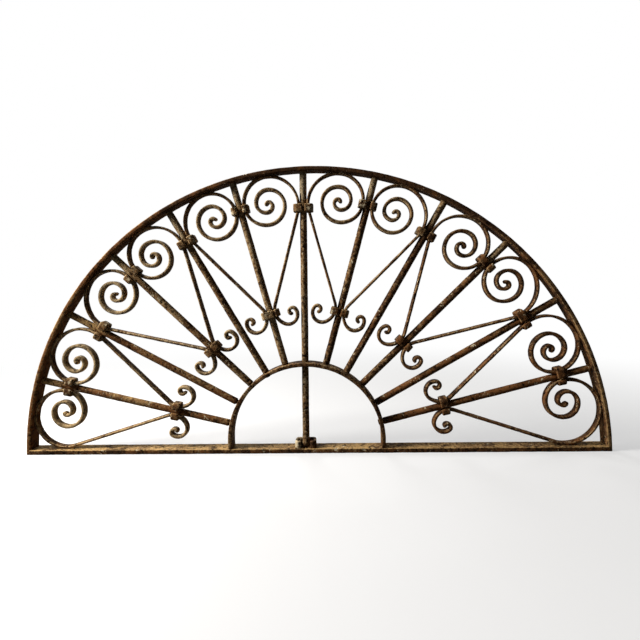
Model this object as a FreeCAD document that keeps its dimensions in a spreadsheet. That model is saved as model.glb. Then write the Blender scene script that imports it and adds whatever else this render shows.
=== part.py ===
"""Sunburst fanlight: a wrought iron grille for the half-round opening over a door.

The grille stands in the XZ plane with its depth along Y and its front towards -Y.
The origin lies on the underside of the bottom bar, below the middle of the arch.
Round bars fan out from a half ring to the arch. A flat strip scroll fills each panel,
and wrapped collars hold the scrolls to the bars.
"""
import FreeCAD, Part
import math
import os

Vector = FreeCAD.Vector
Rotation = FreeCAD.Rotation
Placement = FreeCAD.Placement

doc = FreeCAD.newDocument("Fanlight")

SIZES = (
    # flat bars of the frame
    ("arch_radius", 530.0, "outer face of the arch bar"),
    ("arch_drop", 23.0, "centre of the arch's curve below the underside of the bottom bar"),
    ("arch_depth", 25.0, "arch bar, front to back"),
    ("arch_thick", 6.0, "arch bar, across its curve"),
    ("sill_depth", 32.0, "bottom bar, front to back"),
    ("sill_thick", 8.5, "bottom bar, top to bottom"),
    ("sill_tenon_wide", 12.0, "tenon at each end of the bottom bar, front to back"),
    ("sill_tenon_thick", 4.0, "tenon at each end of the bottom bar, top to bottom"),
    # half ring that the bars spring from
    ("fan_shift", -11.0, "middle of the fan to the side of the arch's middle"),
    ("fan_rise", 22.0, "middle of the fan above the underside of the bottom bar"),
    ("fan_step_angle", 15.24, "degrees from one bar to the next"),
    ("ring_radius", 143.0, "outer face of the ring"),
    ("ring_thick", 5.0, "ring, across its curve"),
    ("ring_depth", 28.0, "ring, front to back"),
    ("ring_tenon_wide", 12.0, "foot tenon of the ring, front to back"),
    # round bars
    ("bar_dia", 12.0, "round bar"),
    ("tenon_dia", 8.0, "turned-down end of a round bar"),
    ("head_dia", 11.0, "burred-over end outside the arch and inside the ring"),
    ("head_rise", 1.6, "how far a burred-over end stands out"),
    ("head_top", 7.0, "flat on a burred-over end"),
    ("loose_gap", 2.5, "between the ring and the shoulder of a bar that has worked loose"),
    # scrolls
    ("strip_thick", 4.5, "scroll strip, across its curve"),
    ("strip_depth", 14.0, "scroll strip, front to back"),
    ("coil_radius", 38.5, "radius of the large coil where it lies against its bar"),
    ("end_coil_radius", 36.5, "the same, for the two coils beside the bottom bar"),
    ("coil_share", 0.5, "part of the outer arcs' loss of radius that comes at the arch"),
    ("end_coil_share", 0.1, "the same, for the two coils beside the bottom bar"),
    ("coil_step", 5.4, "loss of radius in each quarter turn further in"),
    ("coil_eye", 4.2, "radius of the tight end of the large coil"),
    ("coil_eye_angle", 120.0, "degrees that the tight end turns"),
    ("curl_lead", 28.0, "radius of the curl where it leaves the bar"),
    ("curl_lead_angle", 55.0, "degrees from the collar to the rounder part"),
    ("curl_round", 17.0, "radius of the curl's rounder part"),
    ("curl_round_angle", 150.0, "degrees that the rounder part turns"),
    ("curl_hook", 7.0, "radius of the curl's hooked end"),
    ("curl_hook_angle", 180.0, "degrees that the hooked end turns"),
    # collars
    ("collar_thick", 4.5, "collar strip"),
    ("collar_wide", 13.5, "collar strip, along the bar"),
    ("collar_gap", 6.0, "between the folded ends of an upper collar"),
    ("collar_seam", 2.0, "between the folded ends of a lower collar"),
    ("collar_slip", 6.0, "how far a collar sits inwards of where the outer arcs meet its bar"),
    ("empty_spread", 4.0, "how far each side of the empty collar has opened"),
    # clearances
    ("touch_clear", 0.15, "between pieces that lie against each other"),
    ("hole_clear", 0.15, "round a tenon in its hole"),
    ("seat_clear", 0.25, "under a shoulder or a head"),
)

BARS = 11
CENTRE_BAR = 6
LOOSE_BARS = (1, 2)
UPRIGHT = 90.0

# how far each bar, set by eye, strays clockwise from an even fan: (along the ring, along the arch)
STRAYS = ((-3.5, -5.0), (0.0, -1.5), (4.0, 4.0), (1.5, 6.0), (1.5, 4.5), (0.0, 3.5),
          (0.0, 2.0), (1.0, 1.0), (-1.0, 0.5), (3.5, 0.0), (2.0, -1.0))
# lower collars, from the ring to their middles along the bar
LOW_RISES = {1: 102.0, 3: 94.0, 5: 94.0, 7: 97.0, 9: 105.0, 11: 113.0}

rows = list(SIZES)
for number, (foot, tip) in enumerate(STRAYS, start=1):
    rows.append(("foot_stray_%02d" % number, foot, "bar's foot along the ring, from an even fan"))
    rows.append(("tip_stray_%02d" % number, tip, "bar's tip along the arch, from an even fan"))
for number, rise in LOW_RISES.items():
    rows.append(("low_rise_%02d" % number, rise, "ring to the middle of a lower collar, along the bar"))

sheet = doc.addObject("Spreadsheet::Sheet", "Sheet")
for row, (alias, value, note) in enumerate(rows, start=1):
    sheet.set("A%d" % row, note)
    sheet.set("B%d" % row, repr(value))
    sheet.setAlias("B%d" % row, alias)
doc.recompute()


def size(alias):
    return float(sheet.get(alias))


def bind(obj, prop, expression):
    obj.setExpression(prop, expression)


FAN = Vector(size("fan_shift"), 0, size("fan_rise"))
ARCH_MID = Vector(0, 0, -size("arch_drop"))
ARCH_INNER = size("arch_radius") - size("arch_thick")
SILL_TOP = size("sill_thick")
BAR_RADIUS = size("bar_dia") / 2
HALF_STRIP = size("strip_thick") / 2
# middle line of a strip that lies against a bar, from the bar's axis
STRIP_OFF = BAR_RADIUS + size("touch_clear") + HALF_STRIP


def heading(degrees):
    """Unit vector in the plane of the grille, counted from +X towards +Z."""
    angle = math.radians(degrees)
    return Vector(math.cos(angle), 0, math.sin(angle))


def bearing(vector):
    """Heading of a vector in the plane of the grille, in degrees."""
    return math.degrees(math.atan2(vector.z, vector.x))


def reach(degrees, radius):
    """Distance from the middle of the fan, along a heading, to a circle about the arch's centre."""
    along = heading(degrees)
    offset = FAN - ARCH_MID
    run = offset.dot(along)
    return -run + math.sqrt(run * run - offset.dot(offset) + radius * radius)


class Bar:
    """Axis of a round bar, from a foot on the ring's outer face to a tip on the arch's inner face.

    Bars are numbered from the left, the middle one nearly upright. Distances along a bar count
    from its foot. Its leans are measured from square to the arch and from square to the ring.
    """

    def __init__(self, number):
        self.number = number
        even = UPRIGHT + (CENTRE_BAR - number) * size("fan_step_angle")
        ring_radius = size("ring_radius")
        foot_turn = math.degrees(size("foot_stray_%02d" % number) / ring_radius)
        tip_turn = math.degrees(size("tip_stray_%02d" % number) / ARCH_INNER)
        self.foot = FAN + heading(even - foot_turn) * ring_radius
        even_tip = FAN + heading(even) * reach(even, ARCH_INNER)
        tip = ARCH_MID + heading(bearing(even_tip - ARCH_MID) - tip_turn) * ARCH_INNER
        self.angle = bearing(tip - self.foot)
        self.along = heading(self.angle)
        self.length = (tip - self.foot).Length
        self.lean = self.along.getAngle(tip - ARCH_MID)
        self.ring_lean = self.along.getAngle(self.foot - FAN)

    def place(self, distance):
        """Placement with +Z along the bar and +Y to the back."""
        return Placement(self.foot + self.along * distance, Rotation(Vector(0, 1, 0), UPRIGHT - self.angle))

    def distance(self, point):
        return (point - self.foot).dot(self.along)

    def at_height(self, height):
        """Distance along the bar to a height above the underside of the bottom bar."""
        return (height - self.foot.z) / self.along.z


ALL_BARS = {number: Bar(number) for number in range(1, BARS + 1)}


def cylinder(name, radius, height, placement):
    """Round solid with its radius bound to the sheet."""
    solid = doc.addObject("Part::Cylinder", name)
    bind(solid, "Radius", radius)
    if isinstance(height, str):
        bind(solid, "Height", height)
    else:
        solid.Height = height
    solid.Placement = placement
    return solid


def box(name, length, width, height, corner):
    """Block along X, Y and Z. A size given as text is bound to the sheet."""
    solid = doc.addObject("Part::Box", name)
    for prop, value in (("Length", length), ("Width", width), ("Height", height)):
        if isinstance(value, str):
            bind(solid, prop, value)
        else:
            setattr(solid, prop, value)
    solid.Placement.Base = corner
    return solid


def fuse(name, pieces):
    whole = doc.addObject("Part::MultiFuse", name)
    whole.Shapes = pieces
    return whole


def cut(name, base, tool):
    rest = doc.addObject("Part::Cut", name)
    rest.Base = base
    rest.Tool = tool
    return rest


def origin_plane(body, role):
    return next(f for f in body.Origin.OriginFeatures if f.Role == role)


def padded(name, role, edges, length):
    """Body padded to both sides of one of its planes from a closed outline."""
    body = doc.addObject("PartDesign::Body", name)
    sketch = body.newObject("Sketcher::SketchObject", name + "_outline")
    sketch.AttachmentSupport = [(origin_plane(body, role), "")]
    sketch.MapMode = "FlatFace"
    sketch.addGeometry(edges, False)
    pad = body.newObject("PartDesign::Pad", name + "_pad")
    pad.Profile = sketch
    pad.Midplane = True
    bind(pad, "Length", length)
    return body


PARTS = {}


def keep(name, obj):
    obj.Label = name
    PARTS[name] = obj


# Holes that the bars' turned-down ends pass through

def tenon_hole(name, bar, middle, thick):
    """Hole along a bar, well through a wall of the given thickness."""
    return cylinder(name, "Sheet.tenon_dia / 2 + Sheet.hole_clear", 3 * thick, bar.place(middle - 1.5 * thick))


# Arch bar: flat bar bent on the flat to an arc, its feet level with the bottom bar's underside

def build_arch():
    front = Placement(Vector(0, -size("arch_depth") / 2, ARCH_MID.z), Rotation(Vector(1, 0, 0), -90))
    outer = cylinder("arch_outer", "Sheet.arch_radius", "Sheet.arch_depth", front)
    inner = cylinder("arch_inner", "Sheet.arch_radius - Sheet.arch_thick", "Sheet.arch_depth", front)
    hoop = cut("arch_hoop", outer, inner)
    above = box("arch_above", "2 * Sheet.arch_radius", "Sheet.arch_depth", "Sheet.arch_radius",
                Vector(-size("arch_radius"), -size("arch_depth") / 2, 0))
    arc = doc.addObject("Part::Common", "arch_arc")
    arc.Base = hoop
    arc.Tool = above
    thick = size("arch_thick")
    holes = [tenon_hole("arch_hole_%02d" % n, bar, bar.length + thick / 2, thick) for n, bar in ALL_BARS.items()]
    clear = size("hole_clear")
    holes.append(box("arch_mortise", "2 * Sheet.arch_radius", "Sheet.sill_tenon_wide + 2 * Sheet.hole_clear",
                     "Sheet.sill_tenon_thick + 2 * Sheet.hole_clear",
                     Vector(-size("arch_radius"), -size("sill_tenon_wide") / 2 - clear,
                            (SILL_TOP - size("sill_tenon_thick")) / 2 - clear)))
    keep("arch_bar", cut("arch_bar", arc, fuse("arch_holes", holes)))


# Bottom bar: flat bar between the feet of the arch, with a tenon through each

def ring_foot(side):
    """Left edge of the ring's foot on one side."""
    if side < 0:
        return FAN.x - size("ring_radius")
    return FAN.x + size("ring_radius") - size("ring_thick")


def build_sill():
    clear = size("hole_clear")
    half = math.sqrt(ARCH_INNER ** 2 - (SILL_TOP + size("arch_drop")) ** 2) - size("seat_clear")
    plank = box("sill_plank", 2 * half, "Sheet.sill_depth", "Sheet.sill_thick",
                Vector(-half, -size("sill_depth") / 2, 0))
    tip = math.sqrt(size("arch_radius") ** 2 - (SILL_TOP + size("arch_drop")) ** 2)
    tenon = box("sill_tenon", 2 * tip, "Sheet.sill_tenon_wide", "Sheet.sill_tenon_thick",
                Vector(-tip, -size("sill_tenon_wide") / 2, (SILL_TOP - size("sill_tenon_thick")) / 2))
    centre_bar = ALL_BARS[CENTRE_BAR]
    holes = [cylinder("sill_hole", "Sheet.tenon_dia / 2 + Sheet.hole_clear", "3 * Sheet.sill_thick",
                      centre_bar.place(centre_bar.at_height(-SILL_TOP)))]
    for side in (-1, 1):
        corner = Vector(ring_foot(side) - clear, -size("ring_tenon_wide") / 2 - clear, -SILL_TOP)
        holes.append(box("sill_mortise", "Sheet.ring_thick + 2 * Sheet.hole_clear",
                         "Sheet.ring_tenon_wide + 2 * Sheet.hole_clear", "3 * Sheet.sill_thick", corner))
    keep("bottom_bar", cut("bottom_bar", fuse("sill_blank", [plank, tenon]), fuse("sill_holes", holes)))


# Inner ring: flat bar bent to a half circle on two short feet, tenoned into the bottom bar

def build_ring():
    depth = size("ring_depth")
    back = Placement(Vector(FAN.x, depth / 2, FAN.z), Rotation(Vector(1, 0, 0), 90))
    outer = cylinder("ring_outer", "Sheet.ring_radius", "Sheet.ring_depth", back)
    outer.Angle = 180
    inner = cylinder("ring_inner", "Sheet.ring_radius - Sheet.ring_thick", "Sheet.ring_depth", back)
    inner.Angle = 180
    pieces = [cut("ring_arc", outer, inner)]
    seat = SILL_TOP + size("touch_clear")
    for side in (-1, 1):
        pieces.append(box("ring_leg", "Sheet.ring_thick", "Sheet.ring_depth", FAN.z - seat,
                          Vector(ring_foot(side), -depth / 2, seat)))
        pieces.append(box("ring_tenon", "Sheet.ring_thick", "Sheet.ring_tenon_wide",
                          seat - size("seat_clear"),
                          Vector(ring_foot(side), -size("ring_tenon_wide") / 2, size("seat_clear"))))
    thick = size("ring_thick")
    holes = [tenon_hole("ring_hole_%02d" % n, bar, -thick / 2, thick)
             for n, bar in ALL_BARS.items() if n != CENTRE_BAR]
    holes.append(cylinder("ring_centre_hole", "Sheet.bar_dia / 2 + Sheet.hole_clear", "3 * Sheet.ring_thick",
                          ALL_BARS[CENTRE_BAR].place(-2 * thick)))
    keep("inner_ring", cut("inner_ring", fuse("ring_blank", pieces), fuse("ring_holes", holes)))


# Round bars: shouldered at both ends, the turned-down ends burred over

def tilt_gap(lean, width):
    """Room that a square end needs where it meets the arch or the ring off square."""
    return width / 2 * math.tan(lean)


def head(name, placement):
    burr = doc.addObject("Part::Cone", name)
    bind(burr, "Radius1", "Sheet.head_dia / 2")
    bind(burr, "Radius2", "Sheet.head_top / 2")
    bind(burr, "Height", "Sheet.head_rise")
    burr.Placement = placement
    return burr


def build_bar(bar):
    name = "radial_bar_%02d" % bar.number
    seat = size("seat_clear")
    top = bar.length - seat - tilt_gap(bar.lean, size("bar_dia"))
    rim = bar.length + size("arch_thick") / math.cos(bar.lean) + seat + tilt_gap(bar.lean, size("head_dia"))
    pieces = []
    if bar.number == CENTRE_BAR:
        foot = bar.at_height(SILL_TOP + size("touch_clear"))
        tip = bar.at_height(seat)
    else:
        foot = size("loose_gap") if bar.number in LOOSE_BARS else seat
        foot += tilt_gap(bar.ring_lean, size("bar_dia"))
        tip = -size("ring_thick") - seat - tilt_gap(bar.ring_lean, size("head_dia"))
        inward = bar.place(tip)
        inward.Rotation = inward.Rotation * Rotation(Vector(1, 0, 0), 180)
        pieces.append(head(name + "_inner_head", inward))
    pieces.append(cylinder(name + "_shank", "Sheet.bar_dia / 2", top - foot, bar.place(foot)))
    pieces.append(cylinder(name + "_tenons", "Sheet.tenon_dia / 2", rim - tip, bar.place(tip)))
    pieces.append(head(name + "_outer_head", bar.place(rim)))
    keep(name, fuse(name, pieces))


# Scrolls: a strip on edge, drawn as a chain of arcs and one straight leg that meet in line

class Panel:
    """Space between a host bar and its neighbour, which is the bottom bar beside the end bars.

    Local x runs across the panel towards the host bar and local y along the panel's
    middle line, away from the middle of the fan.
    """

    def __init__(self, host, neighbour):
        self.host = host
        self.neighbour = neighbour
        if neighbour is None:
            edge_angle = 180.0 if host.number == 1 else 0.0
            self.coil = size("end_coil_radius")
            self.share = size("end_coil_share")
        else:
            edge_angle = neighbour.angle
            self.coil = size("coil_radius")
            self.share = size("coil_share")
        self.half = abs(host.angle - edge_angle) / 2
        middle = (host.angle + edge_angle) / 2
        self.turn = 1.0 if host.angle < edge_angle else -1.0
        self.across_angle = middle - 90 * self.turn
        self.across = heading(self.across_angle)
        self.outward = heading(middle)

    def local(self, vector):
        return (vector.dot(self.across), vector.dot(self.outward))

    def spot(self, point):
        return FAN + self.across * point[0] + self.outward * point[1]

    def world(self, point):
        """Point as an outline takes it, across and up."""
        spot = self.spot(point)
        return Vector(spot.x, spot.z, 0)

    def world_angle(self, local_degrees):
        return math.radians(self.across_angle + self.turn * local_degrees)


def low_rise(bar):
    return size("low_rise_%02d" % bar.number)


def polar(centre, radius, degrees):
    angle = math.radians(degrees)
    return (centre[0] + radius * math.cos(angle), centre[1] + radius * math.sin(angle))


def coil_start(panel):
    """Centre and radius of the outermost arc, which lies against the neighbour and the arch.

    The third arc has the coil's own radius and lies against the host bar. Both bars give a
    straight condition on the outermost centre for a given radius, and the arch then gives
    the radius.
    """
    host_in = polar((0, 0), 1, 180 - panel.half)
    edge_in = polar((0, 0), 1, panel.half)
    if panel.neighbour is None:
        edge_point = panel.local(Vector(0, 0, SILL_TOP) - FAN)
        edge_off = size("touch_clear") + HALF_STRIP
    else:
        edge_point = panel.local(panel.neighbour.foot - FAN)
        edge_off = STRIP_OFF
    host_point = panel.local(panel.host.foot - FAN)
    lean = host_in[0] * (1 - panel.share) + host_in[1] * panel.share
    edge_at = edge_in[0] * edge_point[0] + edge_in[1] * edge_point[1] + edge_off
    host_at = host_in[0] * host_point[0] + host_in[1] * host_point[1] + STRIP_OFF + panel.coil * (1 + lean)
    det = edge_in[0] * host_in[1] - edge_in[1] * host_in[0]

    def solve(edge_value, host_value):
        return ((edge_value * host_in[1] - host_value * edge_in[1]) / det,
                (edge_in[0] * host_value - host_in[0] * edge_value) / det)

    base = solve(edge_at, host_at)
    slope = solve(1.0, -lean)
    arch_mid = panel.local(ARCH_MID - FAN)
    room = ARCH_INNER - size("touch_clear") - HALF_STRIP
    dx = base[0] - arch_mid[0]
    dy = base[1] - arch_mid[1]
    square = slope[0] ** 2 + slope[1] ** 2 - 1
    linear = dx * slope[0] + dy * slope[1] + room
    rest = dx * dx + dy * dy - room * room
    radius = (-linear + math.sqrt(linear * linear - square * rest)) / square
    return (base[0] + slope[0] * radius, base[1] + slope[1] * radius), radius


def scroll_chain(panel):
    """Arcs (centre, radius, first angle, sweep) from the coil's eye to the curl's hook."""
    centre, radius = coil_start(panel)
    # the leg runs straight from the outer arc to the curl, which turns the other way
    low = panel.local(panel.host.place(low_rise(panel.host)).Base - FAN)
    lead = size("curl_lead")
    curl_mid = polar(low, STRIP_OFF + lead, 180 - panel.half)
    dx = curl_mid[0] - centre[0]
    dy = curl_mid[1] - centre[1]
    span = math.hypot(dx, dy)
    leave = math.degrees(math.atan2(dy, dx)) % 360 - math.degrees(math.acos((radius + lead) / span))
    coil = [(centre, radius, 90.0, leave - 90.0)]
    # each quarter turn inwards moves the centre by its loss of radius
    steps = [(radius - panel.coil) * panel.share, (radius - panel.coil) * (1 - panel.share)]
    steps += [size("coil_step")] * int((panel.coil - size("coil_eye")) / size("coil_step"))
    first = 90.0
    mid = centre
    inner = radius
    for step in steps:
        mid = polar(mid, step, first)
        inner -= step
        first -= 90.0
        coil.append((mid, inner, first, 90.0))
    eye = polar(mid, inner - size("coil_eye"), first)
    coil.append((eye, size("coil_eye"), first - size("coil_eye_angle"), size("coil_eye_angle")))
    coil.reverse()
    enter = leave - 180.0
    lead_end = -panel.half - size("curl_lead_angle")
    curl = [(curl_mid, lead, enter, lead_end - enter)]
    round_mid = polar(curl_mid, lead - size("curl_round"), lead_end)
    curl.append((round_mid, size("curl_round"), lead_end, -size("curl_round_angle")))
    round_end = lead_end - size("curl_round_angle")
    hook_mid = polar(round_mid, size("curl_round") - size("curl_hook"), round_end)
    curl.append((hook_mid, size("curl_hook"), round_end, -size("curl_hook_angle")))
    return coil, curl


def arc_edge(panel, centre, radius, first, sweep):
    circle = Part.Circle(panel.world(centre), Vector(0, 0, 1), radius)
    start = panel.world_angle(first)
    end = panel.world_angle(first + sweep)
    if panel.turn * sweep < 0:
        start, end = end, start
    return Part.ArcOfCircle(circle, start, end)


def scroll_edges(panel):
    """Both long sides of the strip and its rounded ends."""
    coil, curl = scroll_chain(panel)
    edges = []
    for side in (-1, 1):
        for chain, bend in ((coil, 1), (curl, -1)):
            for centre, radius, first, sweep in chain:
                edges.append(arc_edge(panel, centre, radius + side * bend * HALF_STRIP, first, sweep))
        last = coil[-1]
        lead = curl[0]
        start = polar(last[0], last[1] + side * HALF_STRIP, last[2] + last[3])
        end = polar(lead[0], lead[1] - side * HALF_STRIP, lead[2])
        edges.append(Part.LineSegment(panel.world(start), panel.world(end)))
    eye = coil[0]
    edges.append(arc_edge(panel, polar(eye[0], eye[1], eye[2]), HALF_STRIP, eye[2], -180.0))
    hook = curl[-1]
    tip = hook[2] + hook[3]
    edges.append(arc_edge(panel, polar(hook[0], hook[1], tip), HALF_STRIP, tip, -180.0))
    return edges


def upper_touch(panel):
    """Where the coil meets the host and the neighbour: distance along the bar and radius there."""
    centre, radius = coil_start(panel)
    loss = radius - panel.coil
    third = (centre[0] + loss * (1 - panel.share), centre[1] + loss * panel.share)
    touches = [(panel.host, panel.spot(third), panel.coil)]
    if panel.neighbour is not None:
        touches.append((panel.neighbour, panel.spot(centre), radius))
    return [(bar.number, bar.distance(spot), bend) for bar, spot, bend in touches]


PANELS = []
for host in range(1, BARS + 1, 2):
    for beside in (host - 1, host + 1):
        PANELS.append(Panel(ALL_BARS[host], ALL_BARS.get(beside)))


def build_scroll(number, panel):
    name = "scroll_%02d" % number
    keep(name, padded(name, "XZ_Plane", scroll_edges(panel), "Sheet.strip_depth"))


# Collars: a strip wrapped from the back, its two ends folded over the scrolls' front edges

def collar_edges(inner_wide, inner_deep, gap):
    """Outline across the bar, X across the grille and Y towards the back."""
    thick = size("collar_thick")
    wide = inner_wide + thick
    deep = inner_deep + thick
    lip = gap / 2
    edges = []

    def line(x0, y0, x1, y1):
        edges.append(Part.LineSegment(Vector(x0, y0, 0), Vector(x1, y1, 0)))

    for side in (-1, 1):
        line(side * lip, -deep, side * inner_wide, -deep)
        line(side * wide, -inner_deep, side * wide, inner_deep)
        line(side * lip, -deep, side * lip, -inner_deep)
        line(side * lip, -inner_deep, side * inner_wide, -inner_deep)
        line(side * inner_wide, -inner_deep, side * inner_wide, inner_deep)
    line(-inner_wide, deep, inner_wide, deep)
    line(-inner_wide, inner_deep, inner_wide, inner_deep)
    for x, y, first in ((1, 1, 0), (-1, 1, 90), (-1, -1, 180), (1, -1, 270)):
        circle = Part.Circle(Vector(x * inner_wide, y * inner_deep, 0), Vector(0, 0, 1), thick)
        edges.append(Part.ArcOfCircle(circle, math.radians(first), math.radians(first + 90)))
    return edges


def collar_inside(touches, middle):
    """Half width inside a collar, for strips that curve away from the bar on both sides of a touch."""
    bulge = 0.0
    for distance, radius in touches:
        run = size("collar_wide") / 2 + abs(distance - middle)
        bulge = max(bulge, run * run / (2 * (radius - HALF_STRIP)))
    return STRIP_OFF + HALF_STRIP + bulge + size("touch_clear")


def build_collar(name, bar, touches, middle, gap):
    inner_deep = size("strip_depth") / 2 + size("touch_clear")
    edges = collar_edges(collar_inside(touches, middle), inner_deep, gap)
    body = padded(name, "XY_Plane", edges, "Sheet.collar_wide")
    body.Placement = bar.place(middle)
    keep(name, body)


def build_collars():
    touches = {number: [] for number in ALL_BARS}
    for panel in PANELS:
        for number, distance, bend in upper_touch(panel):
            touches[number].append((distance, bend))
    for number, bar in ALL_BARS.items():
        pair = touches[number]
        middle = sum(distance for distance, bend in pair) / len(pair)
        if number % 2 == 0:
            middle -= size("collar_slip")
        build_collar("upper_collar_%02d" % number, bar, pair, middle, size("collar_gap"))
        if number in LOW_RISES:
            low = (low_rise(bar), size("curl_lead"))
            build_collar("lower_collar_%02d" % number, bar, [low], low_rise(bar), size("collar_seam"))


# Empty collar: left at the foot of the middle bar, where its two scrolls are gone

def build_empty_collar():
    name = "empty_collar"
    inner_wide = STRIP_OFF + HALF_STRIP + size("touch_clear") + size("empty_spread")
    inner_deep = size("strip_depth") / 2 + size("touch_clear")
    edges = collar_edges(inner_wide, inner_deep, size("collar_gap"))
    body = padded(name, "XY_Plane", edges, "Sheet.collar_wide")
    stand = SILL_TOP + size("touch_clear") + size("collar_wide") / 2
    forward = inner_deep - BAR_RADIUS - size("touch_clear")
    centre_bar = ALL_BARS[CENTRE_BAR]
    axis = centre_bar.place(centre_bar.at_height(stand)).Base
    body.Placement = Placement(Vector(axis.x, -forward, stand), Rotation())
    keep(name, body)


build_arch()
build_sill()
build_ring()
for bar in ALL_BARS.values():
    build_bar(bar)
for number, panel in enumerate(PANELS, start=1):
    build_scroll(number, panel)
build_collars()
build_empty_collar()
doc.recompute()

for obj in doc.Objects:
    if "Invalid" in obj.State or "Error" in obj.State:
        raise RuntimeError("%s did not build: %s" % (obj.Name, obj.State))
for name, obj in PARTS.items():
    shape = obj.Shape
    if shape.isNull() or not shape.isValid() or len(shape.Solids) != 1:
        raise RuntimeError("%s is not one valid solid" % name)

os.makedirs("parts", exist_ok=True)
for name, obj in PARTS.items():
    obj.Shape.exportStep("parts/%s.step" % name)
    print("%-18s %10.1f mm3" % (name, obj.Shape.Volume))
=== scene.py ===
import math

import bpy
import numpy as np
from mathutils import Matrix


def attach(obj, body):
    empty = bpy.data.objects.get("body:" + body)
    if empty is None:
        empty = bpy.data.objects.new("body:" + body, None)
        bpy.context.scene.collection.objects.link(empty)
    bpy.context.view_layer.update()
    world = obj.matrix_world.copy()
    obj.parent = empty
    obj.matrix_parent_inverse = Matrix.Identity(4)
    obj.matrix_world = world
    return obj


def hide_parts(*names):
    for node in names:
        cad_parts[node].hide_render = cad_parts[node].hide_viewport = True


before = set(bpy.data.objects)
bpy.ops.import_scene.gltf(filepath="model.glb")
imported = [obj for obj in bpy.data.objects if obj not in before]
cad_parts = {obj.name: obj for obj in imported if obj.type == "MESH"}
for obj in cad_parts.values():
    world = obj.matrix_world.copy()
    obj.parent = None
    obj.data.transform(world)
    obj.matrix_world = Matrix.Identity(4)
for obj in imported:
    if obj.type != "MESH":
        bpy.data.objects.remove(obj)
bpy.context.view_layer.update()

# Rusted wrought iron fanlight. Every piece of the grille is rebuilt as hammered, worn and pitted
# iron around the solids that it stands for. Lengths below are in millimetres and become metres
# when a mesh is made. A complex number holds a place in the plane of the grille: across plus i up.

MM = 0.001
DEPTH_AXIS = np.array([0.0, 1.0, 0.0])

# frame
ARCH_RADIUS = 530.0
ARCH_MID = -23.0j
ARCH_DEPTH = 25.0
ARCH_THICK = 6.0
ARCH_INNER = ARCH_RADIUS - ARCH_THICK
ARCH_CORNER = 2.0
SILL_DEPTH = 32.0
SILL_THICK = 8.5
SILL_CORNER = 1.3
# the arch is a little heavier than its solid, but its feet end just inside the solid's
ARCH_OUT = 0.6
ARCH_IN = 1.2
ARCH_DEEPER = 4.0
FOOT_MARGIN = 0.1
# half ring and the fan of bars
FAN = -11.0 + 22.0j
FAN_STEP = 15.24
RING_RADIUS = 143.0
RING_THICK = 5.0
RING_DEPTH = 28.0
RING_CORNER = 1.6
# the ring is a little heavier than its solid
RING_IN = 2.5
RING_DEEPER = 3.0
BARS = 11
CENTRE_BAR = 6
LOOSE_BARS = (1, 2)
# how far each bar strays clockwise from an even fan: (along the ring, along the arch)
STRAYS = ((-3.5, -5.0), (0.0, -1.5), (4.0, 4.0), (1.5, 6.0), (1.5, 4.5), (0.0, 3.5),
          (0.0, 2.0), (1.0, 1.0), (-1.0, 0.5), (3.5, 0.0), (2.0, -1.0))
BAR_RADIUS = 6.0
BAR_CHAMFER = 0.8
TENON_RADIUS = 4.0
HEAD_RADIUS = 5.5
HEAD_RISE = 1.6
# a hammered head from its top down: (share of its rise, radius)
HEAD_PROFILE = ((1.0, 2.2), (0.8, 4.0), (0.3, HEAD_RADIUS))
# inside the ring most heads are hammered nearly flush
PROUD_HEADS = (4, 11)
FLUSH = 1.5
LOOSE_GAP = 2.5
# scrolls
HALF_STRIP = 2.25
STRIP_DEPTH = 14.0
STRIP_CORNER = 1.9
COIL_RADIUS = 38.5
END_COIL_RADIUS = 36.5
COIL_SHARE = 0.5
END_COIL_SHARE = 0.1
COIL_STEP = 5.4
COIL_EYE = 4.2
COIL_EYE_ANGLE = 120.0
LOW_RISES = {1: 102.0, 3: 94.0, 5: 94.0, 7: 97.0, 9: 105.0, 11: 113.0}
# arcs of the curl: (radius, sweep in degrees); its tip is rolled up tighter than in its solid
CURL_ARCS = ((28.0, 55.0), (17.0, 150.0), (6.2, 160.0), (3.5, 125.0))
# collars
COLLAR_THICK = 4.5
COLLAR_WIDE = 13.5
COLLAR_CORNER = 1.5
COLLAR_FOLD = 1.2
COLLAR_SLIP = 6.0
# clearances
TOUCH = 0.15
SEAT = 0.25
STRIP_OFF = BAR_RADIUS + TOUCH + HALF_STRIP
# spacing of a surface's points along its path and around its outline
FLAT_GRID = (2.2, 2.4)
STRIP_GRID = (1.6, 2.2)
COLLAR_GRID = (1.3, 1.9)
BAR_STEP = 2.2
# numbers of points round a bar, along a scroll's arc, the arch and the ring, and round a corner or fold
BAR_SIDES = 26
ARC_POINTS = 60
ARCH_POINTS = 900
RING_POINTS = 300
CORNER_POINTS = 5
FOLD_POINTS = 9
# depth of the hammer marks and pits, and their seeds, which go up by a few from piece to piece
FLAT_MARKS = 0.32
BAR_MARKS = 0.34
STRIP_MARKS = 0.40
COLLAR_MARKS = 0.34
ARCH_SEED, SILL_SEED, RING_SEED = 3, 11, 23
BAR_SEED, STRIP_SEED, COLLAR_SEED, SPRUNG_SEED = 40, 120, 300, 401


def heading(degrees):
    """Step of length 1 in a direction, counter-clockwise from the right."""
    return np.exp(1j * np.radians(degrees))


def dot(a, b):
    """Dot product of two steps: the real part of one times the conjugate of the other."""
    return (a * np.conj(b)).real


def upright(places):
    """Places in the plane of the grille as points in space, at mid depth."""
    places = np.atleast_1d(places)
    return np.stack([places.real, np.zeros(places.shape), places.imag], -1)


# Shapes of the grille's plan

def reach(degrees, radius):
    """Distance from the middle of the fan, along a heading, to a circle about the arch's middle."""
    offset = FAN - ARCH_MID
    run = dot(offset, heading(degrees))
    return -run + math.sqrt(run * run - abs(offset) ** 2 + radius * radius)


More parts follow.
